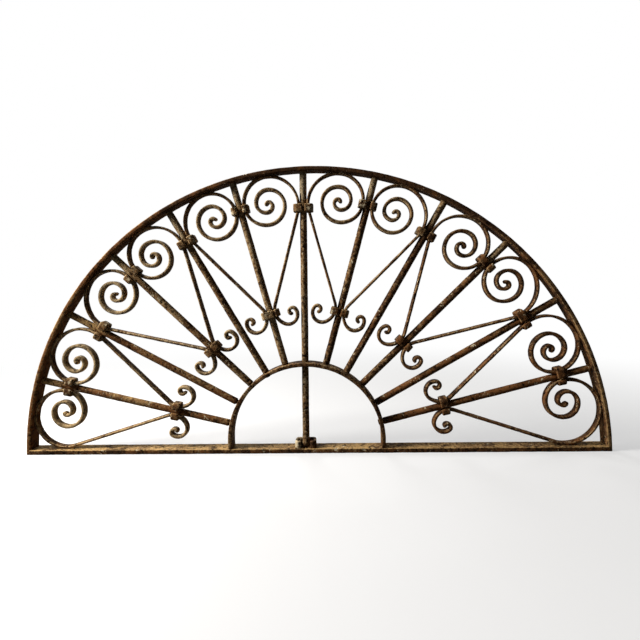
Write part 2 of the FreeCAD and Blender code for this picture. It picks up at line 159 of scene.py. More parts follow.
class Bar:
    """Axis of a round bar: a foot on the ring, a heading and the length to the arch."""

    def __init__(self, number):
        self.number = number
        even = 90.0 + (CENTRE_BAR - number) * FAN_STEP
        foot_stray, tip_stray = STRAYS[number - 1]
        self.foot = FAN + RING_RADIUS * heading(even) * np.exp(-1j * foot_stray / RING_RADIUS)
        even_tip = FAN + heading(even) * reach(even, ARCH_INNER)
        tip = ARCH_MID + (even_tip - ARCH_MID) * np.exp(-1j * tip_stray / ARCH_INNER)
        self.length = abs(tip - self.foot)
        self.along = (tip - self.foot) / self.length
        self.angle = math.degrees(np.angle(self.along))

    def at(self, distance):
        """Place at a distance from the foot."""
        return self.foot + self.along * distance

    def at_height(self, height):
        """Distance from the foot to where the bar passes a height."""
        return (height - self.foot.imag) / self.along.imag


ALL_BARS = {number: Bar(number) for number in range(1, BARS + 1)}


class Panel:
    """Space between a host bar and its neighbour, which beside the end bars is the bottom bar.

    A local place has its real part across the panel towards the host and its imaginary part
    outwards along the middle of the panel.
    """

    def __init__(self, host, neighbour):
        self.host = host
        self.neighbour = neighbour
        if neighbour is None:
            edge_angle = 180.0 if host.number == 1 else 0.0
            self.coil, self.share = END_COIL_RADIUS, END_COIL_SHARE
        else:
            edge_angle = neighbour.angle
            self.coil, self.share = COIL_RADIUS, COIL_SHARE
        self.half = abs(host.angle - edge_angle) / 2
        self.turn = 1 if host.angle < edge_angle else -1
        self.across = heading((host.angle + edge_angle) / 2 - 90 * self.turn)
        self.solve_coil()

    def world(self, local):
        """Local place turned into the plane of the grille, mirrored first to the right of a host."""
        return FAN + self.across * (local if self.turn > 0 else np.conj(local))

    def local(self, place):
        """Place in the plane of the grille as a local one, the reverse of world."""
        turned = (place - FAN) / self.across
        return turned if self.turn > 0 else np.conj(turned)

    def solve_coil(self):
        """Outermost arc of the coil, against the neighbour and the arch.

        The third arc has the coil's own radius and lies against the host. Both bars give a
        straight condition on the outermost centre for a given radius. The arch gives the radius
        as the root of a quadratic.
        """
        host_in = heading(180 - self.half)
        edge_in = heading(self.half)
        if self.neighbour is None:
            edge_at = dot(edge_in, self.local(1j * SILL_THICK)) + TOUCH + HALF_STRIP
        else:
            edge_at = dot(edge_in, self.local(self.neighbour.foot)) + STRIP_OFF
        lean = host_in.real * (1 - self.share) + host_in.imag * self.share
        host_at = dot(host_in, self.local(self.host.foot)) + STRIP_OFF + self.coil * (1 + lean)
        rows = [[edge_in.real, edge_in.imag], [host_in.real, host_in.imag]]
        base = complex(*np.linalg.solve(rows, [edge_at, host_at]))
        slope = complex(*np.linalg.solve(rows, [1.0, -lean]))
        room = ARCH_INNER - TOUCH - HALF_STRIP
        from_arch = base - self.local(ARCH_MID)
        square = abs(slope) ** 2 - 1
        linear = dot(from_arch, slope) + room
        rest = abs(from_arch) ** 2 - room * room
        self.radius = (-linear + math.sqrt(linear * linear - square * rest)) / square
        self.centre = base + slope * self.radius
        loss = self.radius - self.coil
        self.losses = (loss * self.share, loss * (1 - self.share))
        self.third = self.centre + complex(self.losses[1], self.losses[0])

    def touches(self):
        """Distance along each bar to where the coil meets it, and the coil's radius there."""
        met = [(self.host, self.third, self.coil)]
        if self.neighbour is not None:
            met.append((self.neighbour, self.centre, self.radius))
        return [(bar.number, dot(self.world(mid) - bar.foot, bar.along), bend)
                for bar, mid, bend in met]


PANELS = [Panel(ALL_BARS[host], ALL_BARS.get(beside))
          for host in range(1, BARS + 1, 2) for beside in (host - 1, host + 1)]


def scroll_line(panel):
    """Middle line of a scroll.

    Arcs of the coil from its eye outwards, a straight leg, and arcs of the curl. Each arc begins
    where the last one ends and in line with it, so its centre lies on the same radius.
    """
    mid, radius, first = panel.centre, panel.radius, 90.0
    inner = []
    losses = list(panel.losses) + [COIL_STEP] * int((panel.coil - COIL_EYE) / COIL_STEP)
    for loss in losses:
        mid = mid + loss * heading(first)
        radius -= loss
        first -= 90.0
        inner.append((mid, radius, first, 90.0))
    eye = mid + (radius - COIL_EYE) * heading(first)
    inner.append((eye, COIL_EYE, first - COIL_EYE_ANGLE, COIL_EYE_ANGLE))
    low = panel.local(panel.host.at(LOW_RISES[panel.host.number]))
    lead = CURL_ARCS[0][0]
    curl_mid = low + (STRIP_OFF + lead) * heading(180 - panel.half)
    span = curl_mid - panel.centre
    lean = math.degrees(math.acos((panel.radius + lead) / abs(span)))
    leave = math.degrees(np.angle(span)) % 360 - lean
    arcs = inner[::-1] + [(panel.centre, panel.radius, 90.0, leave - 90.0)]
    start = leave - 180.0
    end = -panel.half - CURL_ARCS[0][1]
    mid, radius = curl_mid, lead
    arcs.append((mid, radius, start, end - start))
    for bend, sweep in CURL_ARCS[1:]:
        mid = mid + (radius - bend) * heading(end)
        radius = bend
        arcs.append((mid, radius, end, -sweep))
        end -= sweep
    share = np.linspace(0, 1, ARC_POINTS)
    pieces = [mid + radius * heading(first + sweep * share) for mid, radius, first, sweep in arcs]
    return panel.world(np.concatenate(pieces))


def run_along(places):
    """Length run along a line up to each of its places."""
    return np.concatenate([[0.0], np.cumsum(np.abs(np.diff(places)))])


def evenly(places, spacing):
    """Places along a line, a set distance apart, by interpolation on the length run so far."""
    run = run_along(places)
    steps = np.linspace(0, run[-1], max(3, int(run[-1] / spacing)) + 1)
    return np.interp(steps, run, places.real) + 1j * np.interp(steps, run, places.imag)


# Surfaces

# steps of an angle from cell to cell and from seed to seed, and the size of its sine
CELL_STEPS = np.array([127.1, 311.7, 74.7])
SEED_STEP = 19.19
SINE_SIZE = 43758.5453


def cell_value(cells, seed):
    """A repeatable value from -1 to 1 for each whole-number cell: the fraction of a large sine."""
    large = np.sin(cells @ CELL_STEPS + seed * SEED_STEP) * SINE_SIZE
    return 2 * (large - np.floor(large)) - 1


def rough(points, size, seed):
    """Smooth unevenness: values at the corners of cubes, blended by 3t^2 - 2t^3 along each axis."""
    scaled = points / size
    low = np.floor(scaled)
    t = scaled - low
    t = t * t * (3 - 2 * t)
    total = np.zeros(points.shape[:-1])
    for corner in np.ndindex(2, 2, 2):
        weight = np.prod(np.where(np.array(corner) == 1, t, 1 - t), axis=-1)
        total += weight * cell_value(low + corner, seed)
    return total


# broad hammer marks, dents and pits: their sizes and how much each takes off the skin
BROAD_SIZE, DENT_SIZE, PIT_SIZE = 17.0, 7.0, 3.1
BROAD_CUT, DENT_CUT, PIT_CUT = 0.45, 0.35, 1.6
# the level at which the skin is cut off, the level under which pits open, and how sharply they do
SCALE_LEVEL = 0.55
PIT_LEVEL = -0.25
PIT_POWER = 1.5


def forged(points, depth, scale, seed):
    """How far a forged face stands out from the plain one.

    Broad hammer marks and smaller dents, cut off level with the top of the rust scale, and pits
    where a fine unevenness is low.
    """
    broad = rough(points, BROAD_SIZE, seed)
    dents = rough(points, DENT_SIZE, seed + 1)
    fine = rough(points, PIT_SIZE, seed + 2)
    pits = np.clip(PIT_LEVEL - fine, 0, 1) ** PIT_POWER
    worn = np.minimum(BROAD_CUT * broad + DENT_CUT * dents - SCALE_LEVEL - PIT_CUT * pits, 0.0)
    return depth * (scale + worn), pits


# how worn a flat side is next to its corners, and how far in that reaches
SIDE_WEAR = 0.4
SIDE_REACH = 0.9


def bar_outline(half_a, half_b, corner, spacing):
    """Rounded rectangle, counter-clockwise, as points and how near each lies to a corner.

    Corners are quarter circles, and nearness falls off along the sides as a bell.
    """
    knee = complex(half_a - corner, half_b - corner)
    knees = [knee, -np.conj(knee), -knee, np.conj(knee)]
    places, nearness = [], []
    for turn in range(4):
        bend = np.linspace(0, 1, CORNER_POINTS)
        places.append(knees[turn] + corner * heading(turn * 90 + 90 * bend))
        nearness.append(SIDE_WEAR + (1 - SIDE_WEAR) * np.sin(np.pi * bend))
        side = knees[(turn + 1) % 4] - knees[turn]
        count = max(1, int(abs(side) / spacing))
        share = np.arange(1, count) / count
        places.append(places[-1][-1] + side * share)
        gap = np.minimum(share, 1 - share) * abs(side)
        nearness.append(SIDE_WEAR * np.exp(-(gap / SIDE_REACH) ** 2))
    places = np.concatenate(places)
    return np.stack([places.real, places.imag], -1), np.concatenate(nearness)


def round_outline(radius, count):
    """Circle of evenly spaced points, with no corner near."""
    places = radius * heading(np.arange(count) * 360 / count)
    return np.stack([places.real, places.imag], -1), np.zeros(count)


class Shell:
    """Outline carried along a path.

    Row i is path[i] + a * side + b * binormal for each outline point (a, b), where side is the
    binormal crossed with the path's direction. Stretch multiplies a and b row by row. The skin
    then moves along its own normal by the forged unevenness, whose highest places stand proud
    by the rust scale times its depth.
    """

    def __init__(self, path, binormal, outline, depth, seed, scale=1.2, direction=None, stretch=None):
        points, nearness = outline
        if direction is None:
            direction = np.gradient(path, axis=0)
            direction /= np.linalg.norm(direction, axis=1, keepdims=True)
        else:
            direction = np.broadcast_to(direction, path.shape)
        side = np.cross(np.broadcast_to(binormal, path.shape), direction)
        rows = np.broadcast_to(points, (len(path),) + points.shape)
        if stretch is not None:
            rows = rows * stretch[:, None, :]
        slope = np.roll(points, -1, 0) - np.roll(points, 1, 0)
        slope /= np.linalg.norm(slope, axis=1, keepdims=True)
        out = slope[None, :, 1:] * side[:, None] - slope[None, :, :1] * binormal
        grid = path[:, None] + rows[..., :1] * side[:, None] + rows[..., 1:] * binormal
        lift, pits = forged(grid, depth, scale, seed)
        self.grid = grid + out * lift[..., None]
        self.edge = np.broadcast_to(nearness, pits.shape)
        self.pits = pits
        self.up = np.clip(out[..., 2], 0, 1)

    def faces(self):
        """Quads between rows, and a fan of triangles that closes each end."""
        rows, around = self.grid.shape[:2]
        index = np.arange(rows * around).reshape(rows, around)
        turned = np.roll(index, -1, 1)
        quads = np.stack([index[:-1], turned[:-1], turned[1:], index[1:]], -1).reshape(-1, 4)
        start = rows * around
        near = np.stack([np.full(around, start), turned[0], index[0]], -1)
        far = np.stack([np.full(around, start + 1), index[-1], turned[-1]], -1)
        return quads, np.concatenate([near, far])

    def with_ends(self, values):
        """Values of the grid followed by those of the two end points, the means of the end rows."""
        flat = values.reshape((-1,) + values.shape[2:])
        return np.concatenate([flat, values[:1].mean(1), values[-1:].mean(1)])

    def by_row(self, values):
        """Values of the points from one value for each row of the path."""
        return self.with_ends(np.broadcast_to(values[:, None], self.pits.shape))

    def across(self):
        """Place of each point across the grille."""
        return self.with_ends(self.grid)[:, 0]


SHARP_ANGLE = 55.0
GRIME_REACH = 15.0
FAR_AWAY = 1e6


def make_piece(name, shell, node, slot, joints=(), rust=0.2, pale=0.1, crust=0.5, finish=None):
    """One mesh from a closed shell, with its wear and dirt, and some painted light and shade, kept on its
    points.

    Grime is a bell of the distance to the nearest joint. Rust, pale flecks and crust are levels,
    one for the piece or one for each point.
    """
    points = shell.with_ends(shell.grid)
    quads, fans = shell.faces()
    mesh = bpy.data.meshes.new(name)
    mesh.vertices.add(len(points))
    mesh.vertices.foreach_set("co", (points * MM).astype(np.float32).ravel())
    corners = np.concatenate([quads.ravel(), fans.ravel()])
    mesh.loops.add(len(corners))
    mesh.loops.foreach_set("vertex_index", corners.astype(np.int32))
    sizes = np.concatenate([np.full(len(quads), 4), np.full(len(fans), 3)])
    mesh.polygons.add(len(sizes))
    mesh.polygons.foreach_set("loop_start", (np.cumsum(sizes) - sizes).astype(np.int32))
    mesh.polygons.foreach_set("use_smooth", np.ones(len(sizes), bool))
    mesh.update(calc_edges=True)
    mesh.set_sharp_from_angle(angle=math.radians(SHARP_ANGLE))
    distance = np.full(len(points), FAR_AWAY)
    for joint in joints:
        distance = np.minimum(distance, np.linalg.norm(points - joint, axis=1))
    layers = {
        "edge": shell.with_ends(shell.edge),
        "pits": shell.with_ends(shell.pits),
        # how much each point faces up, which feeds dust and painted top light
        "dust_and_top_light": shell.with_ends(shell.up),
        "grime": np.exp(-(distance / GRIME_REACH) ** 2),
        "rust": np.full(len(points), rust),
        "pale": np.full(len(points), pale),
        "crust": np.full(len(points), crust),
    }
    for layer, values in layers.items():
        attribute = mesh.attributes.new(layer, "FLOAT", "POINT")
        attribute.data.foreach_set("value", values.astype(np.float32))
    mesh.materials.append(FINISHES[finish or slot])
    piece = bpy.data.objects.new(name, mesh)
    bpy.context.scene.collection.objects.link(piece)
    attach(piece, "root")
    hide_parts(node)


# Finishes

class Value:
    """A shader value. Arithmetic on values adds Math nodes."""

    def __init__(self, tree, socket):
        self.tree = tree
        self.socket = socket

    def maths(self, operation, first, second, clamp=False):
        """A Math node on two values or numbers."""
        node = add_node(self.tree, "ShaderNodeMath", {"operation": operation, "use_clamp": clamp},
                        {0: first, 1: second})
        return Value(self.tree, node.outputs[0])

    def __add__(self, other):
        return self.maths("ADD", self, other)

    def __radd__(self, other):
        return self.maths("ADD", other, self)

    def __sub__(self, other):
        return self.maths("SUBTRACT", self, other)

    def __rsub__(self, other):
        return self.maths("SUBTRACT", other, self)

    def __mul__(self, other):
        return self.maths("MULTIPLY", self, other)

    def clamped(self):
        """Kept between 0 and 1."""
        return self.maths("ADD", self, 0.0, clamp=True)

    def between(self, low, high):
        """Rises smoothly from 0 to 1 between two levels."""
        node = add_node(self.tree, "ShaderNodeMapRange", {"interpolation_type": "SMOOTHSTEP"},
                        {"Value": self, "From Min": low, "From Max": high})
        return Value(self.tree, node.outputs["Result"])


def add_node(tree, kind, settings, sockets):
    """Any node: its settings first, then the values or links of its sockets by name or number."""
    node = tree.nodes.new(kind)
    for name, value in settings.items():
        setattr(node, name, value)
    for key, value in sockets.items():
        if isinstance(value, Value):
            tree.links.new(value.socket, node.inputs[key])
        else:
            node.inputs[key].default_value = value
    return node


def blend(tree, share, first, second):
    """Colour that goes from the first to the second by a share."""
    node = add_node(tree, "ShaderNodeMix", {"data_type": "RGBA", "clamp_factor": True},
                    {0: share, 6: first, 7: second})
    return Value(tree, node.outputs[2])


def colour(red, green, blue):
    """Colour that covers fully."""
    return (red, green, blue, 1.0)


NIGHT = colour(0.008, 0.004, 0.002)
UMBER = colour(0.047, 0.023, 0.011)
BROWN = colour(0.145, 0.073, 0.034)
RUST = colour(0.235, 0.098, 0.034)
OCHRE = colour(0.335, 0.204, 0.090)
TAN = colour(0.540, 0.420, 0.260)
GOLD = colour(0.580, 0.370, 0.150)
CREAM = colour(0.720, 0.600, 0.390)


def rusted_iron(name, wear, dust_and_top_light, scale=TAN, bare=0.5, broken=1.0):
    """Rusted iron.

    Umber and brown in grains, rust in blotches, a broken ochre crust with light scale that gathers
    on worn edges and, as dust and painted top light, on what faces up, bare umber patches, pale
    flecks in clusters, and dark pits and joints.
    """
    material = bpy.data.materials.new(name)
    material.use_nodes = True
    tree = material.node_tree
    surface = tree.nodes["Principled BSDF"]
    place = Value(tree, add_node(tree, "ShaderNodeTexCoord", {}, {}).outputs["Object"])

    def layer(attribute):
        """Value kept on the points."""
        node = add_node(tree, "ShaderNodeAttribute", {"attribute_name": attribute}, {})
        return Value(tree, node.outputs["Fac"])

    def cloud(scale, detail, roughness):
        """Noise in the space of the piece, so many waves to the metre."""
        node = add_node(tree, "ShaderNodeTexNoise", {},
                        {"Vector": place, "Scale": scale, "Detail": detail, "Roughness": roughness})
        return Value(tree, node.outputs["Fac"])

    edge, pits, up, grime = layer("edge"), layer("pits"), layer("dust_and_top_light"), layer("grime")
    rust = layer("rust")
    field = cloud(17.0, 3.0, 0.55)
    zone = cloud(11.0, 2.0, 0.50)
    blotch = cloud(62.0, 5.0, 0.62)
    grain = cloud(230.0, 5.0, 0.70)
    fine = cloud(760.0, 3.0, 0.60)
    skin = blend(tree, grain.between(0.49 - 0.13 / broken, 0.49 + 0.13 / broken), UMBER, BROWN)
    skin = blend(tree, (blotch + zone * 0.30 + rust * 0.25).between(0.69, 0.87), skin, RUST)
    raised = grain * 0.60 + fine * 0.20 + blotch * 0.20
    # crust gathers on worn edges, and on what faces up as dust and painted top light that lightens the tops
    gather = edge * wear * 0.06 + up * dust_and_top_light * 0.10 + layer("crust") * 0.25
    crust = raised + field * 0.32 + gather - 0.28
    ochre = crust.between(0.52, 0.59)
    skin = blend(tree, ochre * 0.9, skin, OCHRE)
    skin = blend(tree, crust.between(0.60, 0.67), skin, blend(tree, rust, scale, GOLD))
    skin = blend(tree, cloud(44.0, 4.0, 0.60).between(0.45, 0.37) * bare, skin, UMBER)
    flakes = cloud(150.0, 4.0, 0.65) + cloud(29.0, 2.0, 0.50) * 0.40 + layer("pale") * 0.10
    skin = blend(tree, flakes.between(0.86, 0.92), skin, CREAM)
    cracks = cloud(140.0, 6.0, 0.75).between(0.45, 0.36) * (0.85 * broken)
    dirt = grime * grain.between(0.66, 0.42) * 0.6
    hollow = field.between(0.46, 0.30) * (1 - ochre) * 0.5
    dark = pits * 2.4 + dirt + hollow
    skin = blend(tree, (dark + cracks).clamped(), skin, NIGHT)
    tree.links.new(skin.socket, surface.inputs["Base Color"])
    gloss = 0.66 + fine * 0.2 - edge * 0.16 - ochre * 0.06
    tree.links.new(gloss.clamped().socket, surface.inputs["Roughness"])
    surface.inputs["Specular IOR Level"].default_value = 0.02
    bump = add_node(tree, "ShaderNodeBump", {},
                    {"Strength": 0.7, "Distance": 0.0011, "Height": raised})
    tree.links.new(bump.outputs["Normal"], surface.inputs["Normal"])
    return material


FINISHES = {
    "arch": rusted_iron("arch_iron", wear=2.2, dust_and_top_light=1.0, scale=OCHRE, bare=0.6, broken=0.4),
    "frame_iron": rusted_iron("frame_iron", wear=0.8, dust_and_top_light=1.6, scale=GOLD, bare=0.8, broken=1.2),
    "ring_iron": rusted_iron("ring_iron", wear=0.9, dust_and_top_light=0.5),
    "bar_iron": rusted_iron("bar_iron", wear=0.8, dust_and_top_light=0.4),
    "scroll_iron": rusted_iron("scroll_iron", wear=3.2, dust_and_top_light=0.5),
    "collar_iron": rusted_iron("collar_iron", wear=1.0, dust_and_top_light=0.5),
}


# Frame: arch bar and half ring on edge, and the bottom bar, which lies flat between the arch's feet

# rust and crust by the place across the grille: (places, levels)
ARCH_RUST = ((-450, -300, -150, 150, 400), (0.9, 0.6, 0.1, 0.0, 0.4))
ARCH_CRUST = ((-530, -350, 0, 200, 450), (0.30, 0.25, -0.55, -0.10, 0.50))
SILL_CRUST = ((-400, 400), (0.45, 0.3))
# painted shade on the outer face of the arch, which the near lamp lights strongly: it is darker between its
# rims. The rims' distances from mid depth, how far
# # inside the arch's radius the face begins, and by how much it is darker
OUTER_RIMS = (9.0, 13.0)
OUTER_SKIN = 1.5
OUTER_PAINTED_SHADE = 0.7


def flat_bar(places, thick, depth, corner, seed):
    """Flat bar along a line, its thickness across the line and its depth front to back."""
    step, spacing = FLAT_GRID
    path = upright(evenly(places, step))
    outline = bar_outline(thick / 2, depth / 2, corner, spacing)
    return Shell(path, DEPTH_AXIS, outline, FLAT_MARKS, seed, scale=0.0)


arch_mid_radius = ARCH_RADIUS + (ARCH_OUT - ARCH_THICK - ARCH_IN) / 2
foot_angle = math.degrees(math.asin(-ARCH_MID.imag / arch_mid_radius))
arch_line = ARCH_MID + arch_mid_radius * heading(np.linspace(180 - foot_angle, foot_angle, ARCH_POINTS))
arch_thick = ARCH_OUT + ARCH_THICK + ARCH_IN
arch = flat_bar(arch_line, arch_thick, ARCH_DEPTH + ARCH_DEEPER, ARCH_CORNER, ARCH_SEED)
half_foot = math.sqrt(ARCH_RADIUS ** 2 - ARCH_MID.imag ** 2) - FOOT_MARGIN
arch.grid[..., 0] = np.clip(arch.grid[..., 0], -half_foot, half_foot)
arch.grid[..., 2] = np.maximum(arch.grid[..., 2], 0.0)

half_sill = math.sqrt(ARCH_INNER ** 2 - (SILL_THICK - ARCH_MID.imag) ** 2) - SEAT
sill_line = np.array([-half_sill, half_sill]) + 0.5j * SILL_THICK
sill = flat_bar(sill_line, SILL_THICK, SILL_DEPTH, SILL_CORNER, SILL_SEED)

ring_mid_radius = RING_RADIUS - (RING_THICK + RING_IN) / 2
seat_height = SILL_THICK + TOUCH
ring_arc = FAN + ring_mid_radius * heading(np.linspace(180, 0, RING_POINTS))
ring_feet = ring_arc[[0, -1]].real + 1j * seat_height
ring_line = np.concatenate([ring_feet[:1], ring_arc, ring_feet[1:]])
ring = flat_bar(ring_line, RING_THICK + RING_IN, RING_DEPTH + RING_DEEPER, RING_CORNER, RING_SEED)

ring_joints = [upright(bar.foot)[0] for bar in ALL_BARS.values()]
arch_joints = [upright(bar.at(bar.length))[0] for bar in ALL_BARS.values()]
corner_joints = [upright(np.array(x * half_sill + 1j * SILL_THICK))[0] for x in (-1, 1)]
arch_across, arch_deep, arch_up = arch.with_ends(arch.grid).T
from_middle = np.hypot(arch_across, arch_up - ARCH_MID.imag)
outer_face_shade = (np.clip(from_middle - ARCH_RADIUS + OUTER_SKIN, 0, 1)
              * np.interp(np.abs(arch_deep), OUTER_RIMS, (1.0, 0.0)))
# painted shade on the arch's outer face: less rust and less crust there
make_piece("arch_flat_bar", arch, "arch_bar", "frame_iron", arch_joints + corner_joints,
           rust=np.interp(arch_across, *ARCH_RUST) * (1 - OUTER_PAINTED_SHADE * outer_face_shade), pale=0.0,
           crust=np.interp(arch_across, *ARCH_CRUST) - OUTER_PAINTED_SHADE * outer_face_shade, finish="arch")
make_piece("bottom_flat_bar", sill, "bottom_bar", "frame_iron", corner_joints,
           rust=0.4, crust=np.interp(sill.across(), *SILL_CRUST))
make_piece("half_ring", ring, "inner_ring", "ring_iron", ring_joints, rust=0.4, crust=0.5)


# Round bars, shouldered at both ends, with burred-over heads

def bar_rows(bar):
    """Distances along a bar and radii there, from the inner head to the outer head.

    The lean is the angle of the bar to the arch's own radius. Its tangent times a radius keeps the
    edges of the shoulder and of the outer head clear of the arch.
    """
    lean = abs(np.angle((bar.at(bar.length) - ARCH_MID) / bar.along))
    top = bar.length - SEAT - BAR_RADIUS * math.tan(lean)
    rim = bar.length + ARCH_THICK / math.cos(lean) + SEAT + HEAD_RADIUS * math.tan(lean)
    if bar.number == CENTRE_BAR:
        foot = bar.at_height(seat_height)
        head = []
    else:
        foot = LOOSE_GAP if bar.number in LOOSE_BARS else SEAT
        tip = -RING_THICK - RING_IN - SEAT + (0.0 if bar.number in PROUD_HEADS else FLUSH)
        head = [(tip - HEAD_RISE * share, radius) for share, radius in HEAD_PROFILE]
        head += [(tip, HEAD_RADIUS), (tip, TENON_RADIUS), (foot, TENON_RADIUS)]
    steps = np.linspace(foot + BAR_CHAMFER, top - BAR_CHAMFER, int((top - foot) / BAR_STEP))
    shank = [(foot, BAR_RADIUS - BAR_CHAMFER)] + [(distance, BAR_RADIUS) for distance in steps]
    shank += [(top, BAR_RADIUS - BAR_CHAMFER), (top, TENON_RADIUS), (rim, TENON_RADIUS), (rim, HEAD_RADIUS)]
    crown = [(rim + HEAD_RISE * share, radius) for share, radius in HEAD_PROFILE[::-1]]
    return np.array(head + shank + crown)


# where the coils meet each bar: (distance along it, radius of the coil there)
collar_spots = {number: [] for number in ALL_BARS}
for panel in PANELS:
    for number, distance, bend in panel.touches():
        collar_spots[number].append((distance, bend))

# crust and painted light added beyond a bar's upper collar, where the collar and coil shade the bar, over a
# run of length, and the bars' rust
# # and crust from the left
OUTER_CRUST_AND_LIGHT = 0.4
OUTER_RUN = 12.0
BAR_RUST = (1.0, 1.0, 0.4, 0.2, 0.2, 0.1, 0.2, 0.2, 0.3, 0.8, 0.9)
BAR_CRUST = (0.55, 0.6, 0.7, 0.75, 0.85, 0.8, 0.6, 0.45, 0.5, 0.35, 0.2)

for number, bar in ALL_BARS.items():
    rows = bar_rows(bar)
    path = upright(bar.at(rows[:, 0]))
    stretch = np.repeat(rows[:, 1:] / BAR_RADIUS, 2, axis=1)
    shell = Shell(path, DEPTH_AXIS, round_outline(BAR_RADIUS, BAR_SIDES), BAR_MARKS, BAR_SEED + 5 * number,
                  direction=upright(bar.along)[0], stretch=stretch)
    upper = np.mean([distance for distance, bend in collar_spots[number]])
    # paler past the upper collar: real crust, and painted light on the end that the collar and coil shade
    beyond_crust_and_light = shell.by_row(np.interp(rows[:, 0], (upper, upper + OUTER_RUN), (0.0, OUTER_CRUST_AND_LIGHT)))
    make_piece("round_bar_%02d" % number, shell, "radial_bar_%02d" % number, "bar_iron",
               [upright(bar.foot)[0]], rust=BAR_RUST[number - 1], pale=0.35,
               crust=BAR_CRUST[number - 1] + beyond_crust_and_light)


# Scrolls: a strip on edge, thicker in the inner turns and in the curl, rounded off at its two tips

# how much thicker the strip is, by the length from the tip of the coil and from that of the curl
COIL_GROWTH = ((0.0, 210.0, 300.0), (0.30, 0.30, 0.0))
CURL_GROWTH = ((0.0, 25.0, 70.0, 130.0), (0.25, 0.30, 0.25, 0.0))
# tips: the snub and the length it takes, the length of the rounding, the square of what it leaves of
# the thickness, and the share of the depth that it spares
SNUB, SNUB_RUN = 0.3, 6.0
ROUNDING_RUN = 3.5
LEAST_TIP = 0.03
TIP_DEPTH = 0.35
# crust of the scrolls from the left, the share of it from the tip of the coil outwards, and what
# the curl adds from its own tip
SCROLL_CRUST = (0.80, 0.80, 0.65, 0.55, 0.35, 0.35, 0.30, 0.20, 0.10, -0.05, -0.10, -0.10)
TURN_SHARES = ((180.0, 270.0), (1.30, 0.50))
HOOK_SHARES = ((90.0, 115.0), (0.35, 0.0))
# from the middle of a coil's third arc to its joint with the host bar
HOST_JOINT = 42.0


def rounded(left, run, least):
    """Quarter ellipse that closes an end over a run of length, from the length left to that end.

    The square of the result stays above the least, so that the end keeps a small blunt face.
    """
    return np.sqrt(np.clip(1 - np.clip(1 - left / run, 0, 1) ** 2, least, 1))


def strip_stretch(run):
    """Thickness and depth along a strip, as shares of the plain strip.

    The thickness grows in steps of length from each end, by straight lines between the steps. A
    bell adds the snub at both tips, which close as a quarter ellipse.
    """
    left = run[-1] - run
    grown = 1 + np.interp(run, *COIL_GROWTH) + np.interp(left, *CURL_GROWTH)
    tip = np.minimum(run, left)
    snub = SNUB * np.exp(-(tip / SNUB_RUN) ** 2)
    close = rounded(tip, ROUNDING_RUN, LEAST_TIP)
    return np.stack([(grown + snub) * close, TIP_DEPTH + (1 - TIP_DEPTH) * close], -1)


for number, panel in enumerate(PANELS, start=1):
    step, spacing = STRIP_GRID
    line = evenly(scroll_line(panel), step)
    run = run_along(line)
    outline = bar_outline(HALF_STRIP, STRIP_DEPTH / 2, STRIP_CORNER, spacing)
    shell = Shell(upright(line), DEPTH_AXIS, outline, STRIP_MARKS, STRIP_SEED + 5 * number,
                  scale=1.0, stretch=strip_stretch(run))
    low_joint = panel.host.at(LOW_RISES[panel.host.number])
    coil_joint = panel.world(panel.third + HOST_JOINT * heading(-panel.half))
    share = shell.by_row(np.interp(run, *TURN_SHARES) + np.interp(run[-1] - run, *HOOK_SHARES))
    # rust falls over the first scrolls from the left and then rises slowly
    rust = max(0.2 + 0.03 * number, 0.65 - 0.1 * number)
    make_piece("strip_scroll_%02d" % number, shell, "scroll_%02d" % number, "scroll_iron",
               [upright(low_joint)[0], upright(coil_joint)[0]],
               rust=rust, pale=0.3, crust=SCROLL_CRUST[number - 1] * share)


# Collars: a strip wrapped from the back, its two ends folded over the front

def folded_line(corners, radius):
    """Line through corners, each rounded by an arc of a radius that meets both its sides in line."""
    places = [corners[:1]]
    for before, knee, after in zip(corners, corners[1:], corners[2:]):
        back = (before - knee) / abs(before - knee)
        ahead = (after - knee) / abs(after - knee)
        half_turn = abs(np.angle(ahead / back)) / 2
        middle = knee + (back + ahead) / abs(back + ahead) * radius / math.sin(half_turn)
        cut = radius / math.tan(half_turn)
        start = np.angle(knee + back * cut - middle)
        sweep = np.angle(np.exp(1j * (np.angle(knee + ahead * cut - middle) - start)))
        places.append(middle + radius * np.exp(1j * (start + sweep * np.linspace(0, 1, FOLD_POINTS))))
    places.append(corners[-1:])
    return np.concatenate(places)


# rounding of a collar's ends: its length, the square of what it leaves of the thickness, and the
# share of the width that it spares
LIP_RUN = 1.6
LEAST_LIP = 0.1
LIP_WIDTH = 0.8


def collar_shell(centre, along, corners, seed, depth=0.0):
    """Collar strip along a folded line, which lies across the bar (real part) and front to back."""
    step, spacing = COLLAR_GRID
    line = evenly(folded_line(np.array(corners), COLLAR_THICK / 2 + COLLAR_FOLD), step)
    run = run_along(line)
    close = rounded(np.minimum(run, run[-1] - run), LIP_RUN, LEAST_LIP)
    stretch = np.stack([close, LIP_WIDTH + (1 - LIP_WIDTH) * close], -1)
    across = upright(along / 1j)[0]
    path = upright(centre)[0] + across * line.real[:, None] + DEPTH_AXIS * (line.imag + depth)[:, None]
    outline = bar_outline(COLLAR_THICK / 2, COLLAR_WIDE / 2, COLLAR_CORNER, spacing)
    return Shell(path, upright(along)[0], outline, COLLAR_MARKS, seed, stretch=stretch)


# half depth of a collar, to the middle of its strip
COLLAR_DEEP = STRIP_DEPTH / 2 + TOUCH + COLLAR_THICK / 2


def collar_corners(half_wide, left_lip, right_lip):
    """Corners of the folded line: from one end at the front, round the back, to the other end."""
    wide = half_wide + COLLAR_THICK / 2
    deep = COLLAR_DEEP
    return [complex(left_lip, -deep), complex(-wide, -deep), complex(-wide, deep),
            complex(wide, deep), complex(wide, -deep), complex(right_lip, -deep)]


